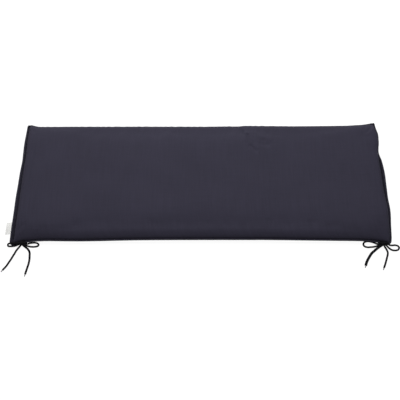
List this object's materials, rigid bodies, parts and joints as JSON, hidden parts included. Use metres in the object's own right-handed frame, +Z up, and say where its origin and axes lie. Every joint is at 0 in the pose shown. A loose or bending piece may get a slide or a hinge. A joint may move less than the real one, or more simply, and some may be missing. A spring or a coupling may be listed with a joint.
{
  "type": "bench cushion",
  "caption": "Long flat rectangular bench cushion with a piped knife edge, corner bow ties for holding it to a seat, and a small side label.",
  "frame": {"origin": "on the flat underside that rests on the seat, below the middle of the cushion", "axes": "+X along the long side to the right, +Y to the back edge, -Y to the front edge with the bow ties, +Z up through the crowned top face"},
  "size_m": [1.255, 0.6139, 0.051],
  "materials": {
    "navy_cloth": "matt plain-woven dark slate-navy cover cloth, soft, no sheen",
    "piping_cloth": "the same matt cloth cut as a strip and drawn tight over a round cord",
    "tie_cord": "matt round braided cord, darker than the cover",
    "clear_tip": "pale translucent smooth plastic",
    "label_ribbon": "plain off-white woven ribbon, bare"
  },
  "bodies": {
    "root": {"cushion": "navy_cloth", "piping": "piping_cloth", "label_tag": "label_ribbon", "tie_left_root": "tie_cord", "tie_left_knot": "tie_cord", "tie_left_loop_outer": "tie_cord", "tie_left_loop_inner": "tie_cord", "tie_left_tail_outer": "tie_cord", "tie_left_tail_inner": "tie_cord", "tie_left_aglet_outer": "clear_tip", "tie_left_aglet_inner": "clear_tip", "tie_right_root": "tie_cord", "tie_right_knot": "tie_cord", "tie_right_loop_outer": "tie_cord", "tie_right_loop_inner": "tie_cord", "tie_right_tail_outer": "tie_cord", "tie_right_tail_inner": "tie_cord", "tie_right_aglet_outer": "clear_tip", "tie_right_aglet_inner": "clear_tip"}
  },
  "joints": []
}
